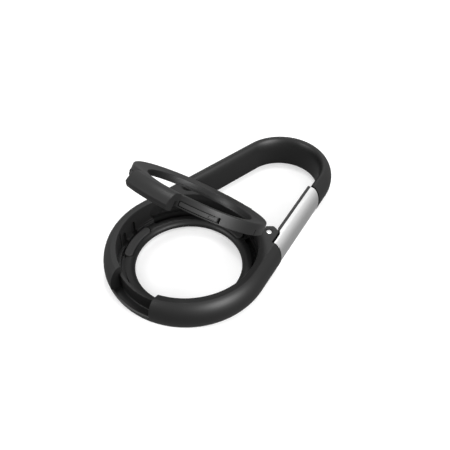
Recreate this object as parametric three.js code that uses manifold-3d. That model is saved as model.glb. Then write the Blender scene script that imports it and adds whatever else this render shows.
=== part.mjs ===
// Carabiner keyring for a coin-sized tracker, with the hinged lid standing open.
// Millimetres, +Z up. The origin is under the middle of the carabiner, on the surface it lies on.
// +Y points along the carabiner, from the tracker ring to the loop. The gate is on the +X side.

import * as THREE from 'three';
import { mergeVertices } from 'three/addons/utils/BufferGeometryUtils.js';
import Module from 'manifold-3d';

const wasm = await Module();
wasm.setup();

// ---------- Driving dimensions ----------

const HEIGHT = 8.8;            // body, from its flat underside to its flat top
const RING_R = 21;             // tracker ring, outer radius at mid height
const LOOP_R = 14;             // carabiner loop, outer radius at mid height
const LOOP_Y = 39.9;           // ring centre to loop centre
const RAIL_W = 3.7;            // width of the loop and of its two straight rails
const SIDE_FALL = 2.2;         // how far the outer side curves in, from mid height to the top
const SIDE_ELLIPSE = 4.6;      // half height of the ellipse that the outer side follows
const INNER_ROUND = 1.35;      // how far the loop's inner side curves out towards the top
const INNER_RISE = 3.4;        // height of that curve
const WEB_R = 20;              // tracker ring's outer radius where it faces the loop
const WEB_FILLET = 1;          // between the ring and each rail

const POCKET_R = 17.45;        // wall that the lid drops into
const STEP_R = 16.9;           // lower, narrower stretch of that wall
const STEP_Z = 3;
const SEAT_R = 13.55;          // see-through hole under the tracker
const SEAT_TOP = 2.2;          // ledge that the tracker sits on
const LEDGE_R = 15.9;          // outer edge of the ledge, where a channel runs outside it
const CHANNEL_Z = 1.7;         // floor of the channel on the notch side
const RELIEF_Z = 0.9;          // floor of the channel beside the hinge pad
const CHANNEL = [212.5, 327.5];   // how far round the ring the channels go, degrees
const RELIEF = [15, 66];
const HINGE_WALL = [60, 120];  // here the pocket's wall has no lower, narrower stretch
const UNDERCUT = [20, 160];    // undercut in the wall on the hinge side, degrees
const UNDERCUT_Z = [2.7, 7.05];
const UNDERCUT_R = 18.5;
const UNDERCUT_GATE_R = 17.75; // shallower part of it, behind the gate's fork
const UNDERCUT_DEEP = 60;      // where the deeper part starts, degrees
const RECESSES = [[187, 2.6], [201.6, 3.7]];   // arched recesses in the wall: middle and half width
const RECESS_Z = [2.2, 6.3];
const RECESS_R = 18.2;
const CATCH = [207, 224.5];    // shallow recess that a snap bar's bump clicks into
const CATCH_Z = [3, 8.1];
const CATCH_R = 17.7;

const TURN = -2;               // the notch, the cap and the snap bars lie this far round, degrees
const NOTCH_X = [-7.05, 5.8];  // gap in the ring's side that the lid's cap closes
const NOTCH_WALL_R = 18.12;    // outer face of the pocket's wall inside the notch
const NOTCH_WALL_Z = 6.8;
const NOTCH_FLOOR = 2.6;
const RIM_IN = 20.48;          // thin rim left outside the notch's floor
const RIM_Z = 3.95;
const RIM_EDGE_Z = 3.45;       // the rim slopes down to this height at its outer edge

const PAD_R = 15.55;           // middle line of the seat pads
const PAD_W = 2.1;
const PAD_HALF = 16.5;         // from a pad's middle to the centre of its round end, degrees
const PAD_MARGIN = 0.28;       // groove round each pad
const PAD_FLOOR = 1.3;
const PAD_TOP = 2.5;
const PAD_ANGLES = { left: 194.2, right: 345.8, hinge: 90 };

const LID_R = 17.2;
const LID_WALL_IN = 16.1;
const LID_WALL_Z = 5.9;
const LID_HOLE_R = 13.45;
const LID_PLATE_Z = 6.75;      // underside of the lid's plate
const LID_DISH = 0.55;         // the plate falls by this much towards its hole
const LID_LIP = 0.7;           // flat lip outside the dished plate
const LID_OPEN = 41.6;         // how far the lid stands open, degrees
const CAP_X = [-6.7, 5.45];
const CAP_IN = 18.38;          // the cap's inner face, outside the notch's wall
const CAP_ROOF = 7.05;         // underside of the cap, above the notch's wall
const CAP_TOE = [[19.6, 4.75], [20.3, 5.35]];  // rounded lower edge of the cap, (radius, height)
const CAP_SIDE_Z = 6;          // from here up the cap follows the body's side
const WINDOW_MID = 37.4;       // from the cap's middle to a snap bar's window, degrees
const WINDOW_HALF = 16.2;
const WINDOW_Z = [6.2, 7.5];
const WINDOW_DEPTH = 0.85;
const BUMP = 9.5;              // from a window's middle to the snap bar's bump, degrees
const BUMP_HALF = 2.5;
const SLIT_ANGLE = 90.7;       // from the cap's middle to a slit in the lid's wall
const SLIT_HALF = 0.4;
const SLIT_DEPTH = 0.4;
const SLIT_TOP = 7.4;

const HINGE_Y = 19.4;          // from the ring centre
const HINGE_Z = 7.7;
const HINGE_R = 0.72;
const KNUCKLE_HALF = 2.4;      // half length of the lid's knuckle
const HINGE_HALF = 4.4;        // half length of the whole hinge
const HINGE_PIN_R = 0.4;
const HINGE_ARM = [[16.3, 7.1], [19.4, 7.1], [19.6, 8.38], [17.1, HEIGHT], [16.3, HEIGHT]];

const GATE_START = 10;         // the body's cut end, along the rail
const GATE_W = 3.7;
const GATE_DROP = 0.25;        // the gate's top, bottom and outer side lie a little inside the body's
const GATE_INSET = 0.15;
const GATE_TRIM = 36;          // the gate is drawn this far along the rail, then trimmed to its swing
const STRIP_W = 0.8;           // dark inner strip of the gate
const SHELL_T = 0.7;           // wall of the gate's metal sleeve
const PIVOT_N = 15.76;         // gate pin, across the rail
const PIVOT_T = 13.09;         // gate pin, along the rail
const EAR = [[18, 13.75], [17.75, 14.35], [17.3, 14.65], [16.2, 15.22], [15.85, 15.22], [14.3, 14.35]];
const EAR_IN = 14.36;          // the ears' side towards the opening
const EAR_R = 2.4;             // circle round the gate pin that holds the ears' tips
const SWING_R = 20.85;         // the gate's end, from its pin
const SWING_GAP = 0.4;
const NOSE_X = [17.35, 18.5];  // the nose at the gate's end, across and along the rail
const NOSE_Y = [33, 35.9];
const NOSE_ROOM_IN = 16.5;     // the nose swings into its pocket from this side
const GATE_PIN_R = 0.8;
const GATE_PIN_CHAMFER = 0.15;
const KNUCKLE_R = 2;           // gate's knuckle on its pin
const KNUCKLE_ARM = [[0, -1.9], [3.64, -1.9], [3.64, 5], [1.39, 5], [1.39, 3.1], [0, 1.9]];  // from the pin
const FORK_Z = [2.8, 6];       // gap between the body's two ears
const GAP = 0.15;
const RUN = 0.08;              // radial clearance of a pin in its bore

// Angle between each rail and the Y axis, from the two outer radii.
const TAPER = Math.asin((RING_R - LOOP_R) / LOOP_Y);
const RING_CENTRE_Y = (RING_R - LOOP_R - LOOP_Y) / 2;
const deg = THREE.MathUtils.degToRad;

// ---------- Materials ----------

const plastic = (color, roughness) => new THREE.MeshStandardMaterial({ color, roughness, metalness: 0 });
const metal = (color, roughness) => new THREE.MeshStandardMaterial({ color, roughness, metalness: 1 });
const MATTE_BLACK = plastic(0x2b2b2c, 0.55);
const LID_BLACK = plastic(0x323233, 0.5);
const GATE_BLACK = plastic(0x48484a, 0.5);
const PAD_RUBBER = plastic(0x3c3c3d, 0.85);
const SATIN_SILVER = metal(0xd4d5d7, 0.32);
const STEEL = metal(0xc8cacc, 0.25);

// ---------- Solids ----------

// A closed three.js geometry as a manifold solid with its faces pointing out.
function solid(geometry) {
  const bare = geometry.clone();
  bare.deleteAttribute('normal');
  bare.deleteAttribute('uv');
  const merged = mergeVertices(bare, 1e-4);
  const index = merged.index.array;
  const corners = [];
  for (let i = 0; i < index.length; i += 3) {
    const [a, b, c] = [index[i], index[i + 1], index[i + 2]];
    if (a !== b && b !== c && c !== a) corners.push(a, b, c);
  }
  const vertProperties = new Float32Array(merged.attributes.position.array);
  const build = (list) => new wasm.Manifold(
    new wasm.Mesh({ numProp: 3, vertProperties, triVerts: new Uint32Array(list) }));
  const made = build(corners);
  return made.volume() > 0 ? made : build(corners.reverse());
}

function geometryOf(shape) {
  const mesh = shape.getMesh();
  const geometry = new THREE.BufferGeometry();
  geometry.setAttribute('position', new THREE.BufferAttribute(new Float32Array(mesh.vertProperties), 3));
  geometry.setIndex(new THREE.BufferAttribute(new Uint32Array(mesh.triVerts), 1));
  const flat = geometry.toNonIndexed();
  flat.computeVertexNormals();
  return flat;
}

function part(name, shape, material) {
  const mesh = new THREE.Mesh(geometryOf(shape), material);
  mesh.name = name;
  return mesh;
}

// Turns a closed (radius, height) profile round the Z axis.
function turned(profile, segments = 72) {
  const points = profile.map(([r, z]) => new THREE.Vector2(r, z));
  points.push(points[0].clone());
  return solid(new THREE.LatheGeometry(points, segments).rotateX(Math.PI / 2));
}

// A flat outline standing from z0 to z1.
function prism(shape, z0, z1, curveSegments = 12) {
  const options = { depth: z1 - z0, bevelEnabled: false, curveSegments };
  return solid(new THREE.ExtrudeGeometry(shape, options).translate(0, 0, z0));
}

function box(x0, x1, y0, y1, z0, z1) {
  const geometry = new THREE.BoxGeometry(x1 - x0, y1 - y0, z1 - z0);
  return solid(geometry.translate((x0 + x1) / 2, (y0 + y1) / 2, (z0 + z1) / 2));
}

function disc(x, y, r, z0, z1, segments = 40) {
  const geometry = new THREE.CylinderGeometry(r, r, z1 - z0, segments).rotateX(Math.PI / 2);
  return solid(geometry.translate(x, y, (z0 + z1) / 2));
}

// A round hole that runs outwards through the ring's wall, between two radii.
function radialBore(angle, z, r, from, to) {
  const geometry = new THREE.CylinderGeometry(r, r, to - from, 24).rotateZ(Math.PI / 2);
  return solid(geometry.translate((from + to) / 2, 0, z)).rotate([0, 0, angle]);
}

// A round bar along X, centred on the hinge line.
function hingeBar(r, x0, x1, segments = 28) {
  const geometry = new THREE.CylinderGeometry(r, r, x1 - x0, segments).rotateZ(Math.PI / 2);
  return solid(geometry.translate((x0 + x1) / 2, HINGE_Y, HINGE_Z));
}

// Part of a flat ring between two radii and two angles in degrees.
function arcBand(r0, r1, from, to, z0, z1, curveSegments = 10) {
  const shape = new THREE.Shape();
  shape.absarc(0, 0, r1, deg(from), deg(to), false);
  shape.absarc(0, 0, r0, deg(to), deg(from), true);
  return prism(shape, z0, z1, curveSegments);
}

// Everything that belongs to the gate is drawn across (x) and along (y) its rail, then turned.
const onRail = (shape) => shape.rotate([0, 0, THREE.MathUtils.radToDeg(TAPER)]);

// ---------- Body ----------

// The body's outline in plan: two circles joined by their outer tangents, drawn in by inset.
function bodyOutline(inset) {
  const shape = new THREE.Shape();
  shape.absarc(0, 0, RING_R - inset, Math.PI - TAPER, 2 * Math.PI + TAPER, false);
  shape.absarc(0, LOOP_Y, LOOP_R - inset, TAPER, Math.PI - TAPER, false);
  shape.closePath();
  return shape;
}

// Width of the ellipse whose part between the flat top and mid height falls in by SIDE_FALL.
const SIDE_WIDTH = SIDE_FALL / (1 - Math.sqrt(1 - (HEIGHT / 2 / SIDE_ELLIPSE) ** 2));

function bodyBlank() {
  const band = 0.02;
  const geometry = new THREE.ExtrudeGeometry(bodyOutline(0), {
    depth: band,
    bevelEnabled: true,
    bevelThickness: SIDE_ELLIPSE,
    bevelSize: SIDE_WIDTH,
    bevelOffset: -SIDE_WIDTH,
    bevelSegments: 6,
    curveSegments: 18,
  });
  geometry.translate(0, 0, HEIGHT / 2 - band / 2);
  return solid(geometry).intersect(box(-30, 30, -30, 70, 0, HEIGHT));
}

// The loop's opening. Its side is upright at the underside and curves outwards to the top.
function loopOpening() {
  const railIn = RING_R - RAIL_W - WEB_FILLET;
  const webOut = WEB_R + WEB_FILLET;
  const along = Math.sqrt(webOut ** 2 - railIn ** 2);
  const corner = new THREE.Vector2(railIn, along).rotateAround(new THREE.Vector2(), TAPER);
  const turn = corner.angle();
  const shape = new THREE.Shape();
  shape.absarc(0, 0, WEB_R, Math.PI - turn, turn, true);
  shape.absarc(corner.x, corner.y, WEB_FILLET, turn + Math.PI, TAPER + 2 * Math.PI, false);
  shape.absarc(0, LOOP_Y, LOOP_R - RAIL_W, TAPER, Math.PI - TAPER, false);
  shape.absarc(-corner.x, corner.y, WEB_FILLET, Math.PI - TAPER, 2 * Math.PI - turn, false);
  const foot = -1;
  const geometry = new THREE.ExtrudeGeometry(shape, {
    depth: HEIGHT - INNER_RISE - foot,
    bevelEnabled: true,
    bevelThickness: INNER_RISE + 0.05,
    bevelSize: -INNER_ROUND,
    bevelOffset: INNER_ROUND,
    bevelSegments: 5,
    curveSegments: 12,
  });
  return solid(geometry.translate(0, 0, foot));
}

// Everything that is cut away inside the tracker ring.
function pocket() {
  const space = turned([
    [0, -1], [SEAT_R + 1.5, -1], [SEAT_R, 0.5], [SEAT_R, 1.2], [SEAT_R + 0.35, 1.85],
    [SEAT_R + 0.95, SEAT_TOP], [STEP_R, SEAT_TOP], [STEP_R, STEP_Z], [POCKET_R, STEP_Z],
    [POCKET_R, HEIGHT + 1], [0, HEIGHT + 1],
  ]);
  return space.add(channels()).add(undercut()).add(wallRecesses()).add(padGrooves());
}

// The channels outside the ledge, one on the notch side and two beside the hinge pad.
function channels() {
  const [from, to] = RELIEF;
  const top = STEP_Z + 0.4;
  return arcBand(LEDGE_R, STEP_R + 0.01, ...CHANNEL, CHANNEL_Z, SEAT_TOP + 0.4, 16)
    .add(arcBand(LEDGE_R, POCKET_R, from, to, RELIEF_Z, top))
    .add(arcBand(LEDGE_R, POCKET_R, 180 - to, 180 - from, RELIEF_Z, top))
    .add(arcBand(STEP_R - 0.1, POCKET_R, ...HINGE_WALL, SEAT_TOP, top));
}

// The wall is undercut on the hinge side, with a round end on each side.
function undercut() {
  const [low, high] = UNDERCUT_Z;
  const [middle, half] = [(low + high) / 2, (high - low) / 2];
  const inner = POCKET_R - 0.5;
  const [gateEnd, farEnd] = UNDERCUT;
  return arcBand(inner, UNDERCUT_R, UNDERCUT_DEEP, farEnd, low, high, 18)
    .add(radialBore(farEnd, middle, half, inner, UNDERCUT_R))
    .add(arcBand(inner, UNDERCUT_GATE_R, gateEnd, UNDERCUT_DEEP + 1, low, high))
    .add(radialBore(gateEnd, middle, half, inner, UNDERCUT_GATE_R));
}

// Arched recesses beside each pad, and the two catches for the snap bars.
function wallRecesses() {
  let cuts = arcBand(POCKET_R - 0.4, CATCH_R, ...CATCH, ...CATCH_Z, 8);
  cuts = cuts.add(arcBand(POCKET_R - 0.4, CATCH_R, ...mirrored(CATCH), ...CATCH_Z, 8));
  const [low, top] = RECESS_Z;
  for (const [middle, half] of RECESSES) {
    const arch = deg(half) * POCKET_R;
    for (const angle of [middle, 180 - middle]) {
      cuts = cuts
        .add(arcBand(STEP_R - 0.1, RECESS_R, angle - half, angle + half, low, top - arch, 4))
        .add(radialBore(angle, top - arch, arch, STEP_R, RECESS_R));
    }
  }
  return cuts;
}

// A pair of angles on the other side of the notch's middle.
function mirrored([from, to]) {
  const middle = 270 + TURN;
  return [2 * middle - to, 2 * middle - from];
}

function padGrooves() {
  const groove = (angle) => padShape(angle, PAD_MARGIN, PAD_FLOOR, SEAT_TOP + 0.7);
  return Object.values(PAD_ANGLES).map(groove).reduce((all, cut) => all.add(cut));
}

// The gap that the lid's cap closes, with a hollow between the pocket's wall and a thin outer rim.
function notch() {
  const section = turned([
    [NOTCH_WALL_R + 0.2, NOTCH_FLOOR], [RIM_IN - 0.2, NOTCH_FLOOR], [RIM_IN, NOTCH_FLOOR + 0.25],
    [RIM_IN, RIM_Z], [RING_R + 0.05, RIM_EDGE_Z], [RING_R + 0.05, HEIGHT + 1],
    [POCKET_R - 0.3, HEIGHT + 1], [POCKET_R - 0.3, NOTCH_WALL_Z], [NOTCH_WALL_R, NOTCH_WALL_Z],
    [NOTCH_WALL_R, NOTCH_FLOOR + 0.25],
  ]);
  return section.intersect(box(...NOTCH_X, -RING_R - 2, -10, 0, HEIGHT + 2));
}

// Clears the rail where the gate is, and ends in an arc that the gate's end can swing past.
function gateGap() {
  const reach = SWING_R + SWING_GAP;
  const [inner, outer] = [RING_R - RAIL_W - 0.7, RING_R + 1.5];
  const shape = new THREE.Shape();
  shape.moveTo(inner, GATE_START);
  shape.lineTo(outer, GATE_START);
  const start = Math.acos((outer - PIVOT_N) / reach);
  const end = Math.acos((inner - PIVOT_N) / reach);
  shape.absarc(PIVOT_N, PIVOT_T, reach, start, end, false);
  shape.closePath();
  return prism(shape, -1, HEIGHT + 1, 6);
}

function gateEar() {
  const shape = new THREE.Shape();
  shape.moveTo(EAR[0][0], GATE_START - 1.5);
  for (const [across, along] of EAR) shape.lineTo(across, along);
  shape.lineTo(EAR_IN, GATE_START + 1);
  shape.closePath();
  return prism(shape, 0, HEIGHT);
}

// The slot between the two ears, where the gate's knuckle and spring turn.
function gateFork() {
  const [low, high] = FORK_Z;
  const round = disc(PIVOT_N, PIVOT_T, EAR_R + 0.2, low, high);
  return round.add(box(PIVOT_N, PIVOT_N + EAR_R + 1, PIVOT_T - 2.2, PIVOT_T + 3, low, high));
}

function bodyFrame() {
  const noseRoom = box(
    NOSE_ROOM_IN, NOSE_X[1] + 0.25, NOSE_Y[0] + 0.4, NOSE_Y[1] + 0.4, FORK_Z[0] + 0.1, FORK_Z[1] - 0.1);
  const pinHole = disc(PIVOT_N, PIVOT_T, GATE_PIN_R + RUN, -1, HEIGHT + 1, 28);
  let body = bodyBlank().subtract(loopOpening()).subtract(onRail(gateGap())).add(onRail(gateEar()));
  body = body.add(hingeBar(HINGE_R, -HINGE_HALF, HINGE_HALF));
  const knuckleRoom = KNUCKLE_HALF + 0.2;
  return body
    .subtract(pocket())
    .subtract(notch())
    .subtract(onRail(gateFork()))
    .subtract(onRail(noseRoom))
    .subtract(onRail(pinHole))
    .subtract(box(-knuckleRoom, knuckleRoom, 16, HINGE_Y + 2, HINGE_Z - HINGE_R - 0.25, HEIGHT + 1))
    .subtract(hingeBar(HINGE_PIN_R + RUN, -HINGE_HALF - 1, HINGE_HALF + 1, 20));
}

// ---------- Seat pads ----------

// A curved bar with round ends, grown by margin on all sides.
function padShape(angle, margin, z0, z1) {
  const half = PAD_W / 2 + margin;
  const [from, to] = [deg(angle - PAD_HALF), deg(angle + PAD_HALF)];
  const shape = new THREE.Shape();
  shape.absarc(0, 0, PAD_R + half, from, to, false);
  shape.absarc(PAD_R * Math.cos(to), PAD_R * Math.sin(to), half, to, to + Math.PI, false);
  shape.absarc(0, 0, PAD_R - half, to, from, true);
  shape.absarc(PAD_R * Math.cos(from), PAD_R * Math.sin(from), half, from - Math.PI, from, false);
  return prism(shape, z0, z1, 8);
}

// ---------- Lid, drawn shut ----------

// The upper part of the body's outer side, as a (radius, height) curve.
function capSide(points) {
  const centre = RING_R - SIDE_WIDTH;
  const top = Math.asin(HEIGHT / 2 / SIDE_ELLIPSE);
  const low = Math.asin((CAP_SIDE_Z - HEIGHT / 2) / SIDE_ELLIPSE);
  return Array.from({ length: points + 1 }, (_, i) => {
    const a = low + (top - low) * (i / points);
    return [centre + SIDE_WIDTH * Math.cos(a), HEIGHT / 2 + SIDE_ELLIPSE * Math.sin(a)];
  });
}

// The cap that fills the notch. It hooks over the pocket's wall.
function lidCap() {
  const section = turned([
    [LID_R - 0.3, CAP_ROOF], [CAP_IN, CAP_ROOF], [CAP_IN, CAP_TOE[0][1]], ...CAP_TOE,
    ...capSide(6), [LID_R - 0.3, HEIGHT],
  ]);
  return section.intersect(box(...CAP_X, -RING_R - 1, -10, 0, HEIGHT + 1));
}

function lidRing() {
  const round = 0.3;
  const lip = LID_R - LID_LIP;
  const ring = turned([
    [LID_R, LID_WALL_Z], [LID_R, HEIGHT - round], [LID_R - 0.09, HEIGHT - 0.09], [LID_R - round, HEIGHT],
    [lip, HEIGHT], [LID_HOLE_R + 0.2, HEIGHT - LID_DISH], [LID_HOLE_R, HEIGHT - LID_DISH - 0.15],
    [LID_HOLE_R, LID_PLATE_Z], [LID_WALL_IN, LID_PLATE_Z], [LID_WALL_IN, LID_WALL_Z],
  ]);
  let lid = ring.add(lidCap()).add(hingeArm()).add(hingeBar(HINGE_R, -KNUCKLE_HALF, KNUCKLE_HALF));
  lid = lid.subtract(hingeBar(HINGE_PIN_R + RUN, -KNUCKLE_HALF - 1, KNUCKLE_HALF + 1, 20));
  const [low, high] = WINDOW_Z;
  for (const side of [-1, 1]) {
    const middle = -90 + TURN + side * WINDOW_MID;
    const slit = -90 + TURN + side * SLIT_ANGLE;
    lid = lid
      .subtract(lidCut(WINDOW_DEPTH, middle, WINDOW_HALF, low, high, 10))
      .subtract(lidCut(SLIT_DEPTH, slit, SLIT_HALF, LID_WALL_Z - 1, SLIT_TOP, 2));
  }
  return lid;
}

// A cut into the outside of the lid's wall, half degrees to each side of the middle angle.
function lidCut(depth, middle, half, z0, z1, curveSegments) {
  return arcBand(LID_R - depth, LID_R + 1, middle - half, middle + half, z0, z1, curveSegments);
}

// Joins the lid to its knuckle. It is drawn across X as (y, z) and stands between the body's knuckles.
function hingeArm() {
  const shape = new THREE.Shape(HINGE_ARM.map(([y, z]) => new THREE.Vector2(y, z)));
  const options = { depth: 2 * KNUCKLE_HALF, bevelEnabled: false };
  const geometry = new THREE.ExtrudeGeometry(shape, options).rotateX(Math.PI / 2).rotateZ(Math.PI / 2);
  return solid(geometry.translate(-KNUCKLE_HALF, 0, 0));
}

// A springy bar in each window of the lid, which snaps into the ring's wall.
function snapBar(side) {
  const middle = -90 + TURN + side * WINDOW_MID;
  const [capGap, hingeGap, edgeGap] = [0.6, 3, 0.18];
  const capEnd = middle - side * (WINDOW_HALF - capGap);
  const hingeEnd = middle + side * (WINDOW_HALF - hingeGap);
  const [from, to] = [capEnd, hingeEnd].sort((a, b) => a - b);
  const [low, high] = [WINDOW_Z[0] + edgeGap, WINDOW_Z[1] - edgeGap];
  const [inner, outer, tip] = [LID_R - 0.65, LID_R - 0.05, LID_R + 0.15];
  const bump = middle + side * BUMP;
  return arcBand(inner, outer, from, to, low, high)
    .add(arcBand(LID_R - 0.3, tip, bump - BUMP_HALF, bump + BUMP_HALF, low + 0.2, high - 0.2, 5));
}

// ---------- Gate ----------

// The gate's cross-section outline: flat inner side, outer side rounded like the body's.
function gateSection(inner, inset) {
  const outer = RING_R - GATE_INSET - inset;
  const half = HEIGHT / 2 - GATE_DROP - inset;
  const shoulder = outer - SIDE_FALL;
  const shape = new THREE.Shape();
  shape.moveTo(inner, -half);
  shape.lineTo(shoulder, -half);
  shape.absellipse(shoulder, 0, SIDE_FALL, half, -Math.PI / 2, Math.PI / 2, false);
  shape.lineTo(inner, half);
  shape.closePath();
  return shape;
}

// A cross-section drawn across the rail and up, running along the rail from t0 to t1.
function alongRail(shape, t0, t1) {
  const options = { depth: t1 - t0, bevelEnabled: false, curveSegments: 8 };
  const geometry = new THREE.ExtrudeGeometry(shape, options).rotateX(Math.PI / 2);
  return solid(geometry.translate(0, t1, HEIGHT / 2));
}

// Room for the two ears, which the gate's lower end passes outside.
function earRoom() {
  const reach = EAR_R + 0.35;
  const round = disc(PIVOT_N, PIVOT_T, reach, -1, HEIGHT + 1);
  return round.add(box(PIVOT_N - 3, PIVOT_N + reach, GATE_START - 2, PIVOT_T, -1, HEIGHT + 1));
}

const swing = (r) => disc(PIVOT_N, PIVOT_T, r, -1, HEIGHT + 1, 120);
const GATE_IN = RING_R - GATE_W - GATE_INSET;
const GATE_LOW = GATE_START + 0.3;

function gateSleeve() {
  const stripOut = GATE_IN + STRIP_W;
  const shell = alongRail(gateSection(stripOut, 0), GATE_LOW, GATE_TRIM)
    .subtract(alongRail(gateSection(stripOut - 1, SHELL_T), GATE_LOW - 1, GATE_TRIM + 1));
  return shell.intersect(swing(SWING_R)).subtract(earRoom());
}

function gateCore() {
  const stripOut = GATE_IN + STRIP_W - GAP;
  const strip = box(GATE_IN, stripOut, GATE_LOW, GATE_TRIM, GATE_DROP, HEIGHT - GATE_DROP);
  const rib = alongRail(gateSection(GATE_IN, SHELL_T + GAP), GATE_LOW, GATE_TRIM);
  const bar = strip.add(rib).intersect(swing(SWING_R)).subtract(earRoom());

  const [low, high] = [FORK_Z[0] + 0.2, FORK_Z[1] - 0.2];
  const arm = new THREE.Shape(KNUCKLE_ARM.map(([x, y]) => new THREE.Vector2(PIVOT_N + x, PIVOT_T + y)));
  const knuckle = prism(arm, low, high).add(disc(PIVOT_N, PIVOT_T, KNUCKLE_R, low, high));
  const springRoom = disc(PIVOT_N, PIVOT_T, KNUCKLE_R + 0.1, low + 1.4, high + 1);
  const bore = disc(PIVOT_N, PIVOT_T, GATE_PIN_R + RUN, 0, HEIGHT, 28);
  const nose = box(...NOSE_X, ...NOSE_Y, FORK_Z[0] + 0.4, FORK_Z[1] - 0.4);
  return bar.add(knuckle).subtract(springRoom).subtract(bore).add(nose);
}

function gatePin() {
  const [low, high] = [0.15, HEIGHT - 0.05];
  const tipR = GATE_PIN_R - GATE_PIN_CHAMFER;
  const pin = turned([
    [0, low], [tipR, low], [GATE_PIN_R, low + GATE_PIN_CHAMFER], [GATE_PIN_R, high - GATE_PIN_CHAMFER],
    [tipR, high], [0, high],
  ], 28);
  return pin.translate([PIVOT_N, PIVOT_T, 0]);
}

// The torsion spring that shuts the gate: coils round the pin, with a short leg at each end.
function gateSpring() {
  const wire = 0.17;
  const coilR = 1.3;
  const turns = 2.25;
  const pitch = 0.42;
  const base = FORK_Z[0] + 1.9;
  const point = (turn, r) => {
    const a = turn * 2 * Math.PI;
    const climb = pitch * Math.max(0, Math.min(turns, turn));
    return new THREE.Vector3(r * Math.cos(a), r * Math.sin(a), base + climb);
  };
  const coil = Array.from({ length: 37 }, (_, i) => point((turns * i) / 36, coilR));
  const legs = [point(-0.07, coilR + 0.45), point(turns + 0.07, coilR + 0.45)];
  const path = new THREE.CatmullRomCurve3([legs[0], ...coil, legs[1]]);
  const section = new THREE.Shape();
  section.absarc(0, 0, wire, 0, 2 * Math.PI, false);
  const options = { steps: 60, extrudePath: path, curveSegments: 3, bevelEnabled: false };
  return solid(new THREE.ExtrudeGeometry(section, options)).translate([PIVOT_N, PIVOT_T, 0]);
}

// ---------- Assembly ----------

const keyring = new THREE.Group();
keyring.position.y = RING_CENTRE_Y;

keyring.add(part('body_frame', bodyFrame(), MATTE_BLACK));
for (const [place, angle] of Object.entries(PAD_ANGLES)) {
  keyring.add(part(`seat_pad_${place}`, padShape(angle, 0, PAD_FLOOR + GAP, PAD_TOP), PAD_RUBBER));
}
keyring.add(part('lid_hinge_pin', hingeBar(HINGE_PIN_R, -HINGE_HALF + 0.1, HINGE_HALF - 0.1, 20), STEEL));

// The lid turns about the hinge line, so its pieces are drawn shut and hung from that line.
const lid = new THREE.Group();
lid.position.set(0, HINGE_Y, HINGE_Z);
lid.rotation.x = -deg(LID_OPEN);
const lidDrawing = new THREE.Group();
lidDrawing.position.set(0, -HINGE_Y, -HINGE_Z);
lidDrawing.add(part('lid_ring', lidRing(), LID_BLACK));
lidDrawing.add(part('snap_bar_left', snapBar(-1), GATE_BLACK));
lidDrawing.add(part('snap_bar_right', snapBar(1), GATE_BLACK));
lid.add(lidDrawing);
keyring.add(lid);

const gate = new THREE.Group();
gate.rotation.z = TAPER;
gate.add(part('gate_sleeve', gateSleeve(), SATIN_SILVER));
gate.add(part('gate_core', gateCore(), GATE_BLACK));
gate.add(part('gate_pin', gatePin(), STEEL));
gate.add(part('gate_spring', gateSpring(), STEEL));
keyring.add(gate);

const assembly = new THREE.Group();
assembly.add(keyring);

export default assembly;
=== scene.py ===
"""Looks of the carabiner keyring with its hinged tracker lid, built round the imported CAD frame.

Shapes are drawn in millimetres round the tracker ring's centre and moved into the row's frame, in metres.
"""

import math

import bmesh
import bpy
from mathutils import Matrix, Vector


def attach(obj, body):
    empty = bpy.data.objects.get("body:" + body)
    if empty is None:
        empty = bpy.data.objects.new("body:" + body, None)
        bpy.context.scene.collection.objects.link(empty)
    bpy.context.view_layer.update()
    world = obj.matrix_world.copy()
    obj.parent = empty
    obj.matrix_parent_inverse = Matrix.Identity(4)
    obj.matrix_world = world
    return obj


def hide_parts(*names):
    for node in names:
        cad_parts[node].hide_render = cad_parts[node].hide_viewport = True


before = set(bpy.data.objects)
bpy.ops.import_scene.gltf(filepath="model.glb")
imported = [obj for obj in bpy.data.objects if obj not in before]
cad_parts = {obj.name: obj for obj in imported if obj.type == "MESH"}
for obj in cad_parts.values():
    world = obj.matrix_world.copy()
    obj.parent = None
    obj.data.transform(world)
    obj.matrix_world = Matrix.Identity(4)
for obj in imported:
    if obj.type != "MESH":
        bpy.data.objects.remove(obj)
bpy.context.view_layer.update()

# ---------- Sizes, as in the CAD, in millimetres and degrees ----------

HEIGHT = 8.8  # body, from its flat underside to its flat top
RING_R = 21.0  # tracker ring, outer radius at mid height
LOOP_R = 14.0  # carabiner loop, outer radius at mid height
LOOP_Y = 39.9  # ring centre to loop centre
RAIL_W = 3.7  # width of the loop and of its two straight rails
SIDE_FALL = 2.2  # how far the outer side curves in, from mid height to the top
SIDE_ELLIPSE = 4.6  # half height of the ellipse that the outer side follows
INNER_ROUND = 1.35  # how far the loop's inner side curves out towards the top
INNER_RISE = 3.4  # height of that curve
WEB_R = 20.0  # tracker ring's outer radius where it faces the loop
WEB_FILLET = 1.0  # between the ring and each rail

POCKET_R = 17.45  # wall that the lid drops into
STEP_R = 16.9  # lower, narrower stretch of that wall
STEP_Z = 3.0
SEAT_R = 13.55  # see-through hole under the tracker
SEAT_TOP = 2.2  # ledge that the tracker sits on
LEDGE_R = 15.9  # outer edge of the ledge, where a channel runs outside it
CHANNEL_Z = 1.7  # floor of the channel on the notch side
RELIEF_Z = 0.9  # floor of the channels beside the hinge pad
CHANNEL = (212.5, 327.5)  # how far round the ring the channels go
RELIEF = (15.0, 66.0)
HINGE_WALL = (60.0, 120.0)  # here the pocket's wall has no lower, narrower stretch
UNDERCUT = (20.0, 160.0)  # undercut in the wall on the hinge side
UNDERCUT_Z = (2.7, 7.05)
UNDERCUT_R = 18.5
UNDERCUT_GATE_R = 17.75  # shallower part of it, behind the gate's fork
UNDERCUT_DEEP = 60.0  # where the deeper part starts
RECESSES = ((187.0, 2.6), (201.6, 3.7))  # arched recesses in the wall: middle and half width
RECESS_Z = (2.2, 6.3)
RECESS_R = 18.2
CATCH = (207.0, 224.5)  # shallow recess for a snap bar's bump
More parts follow.
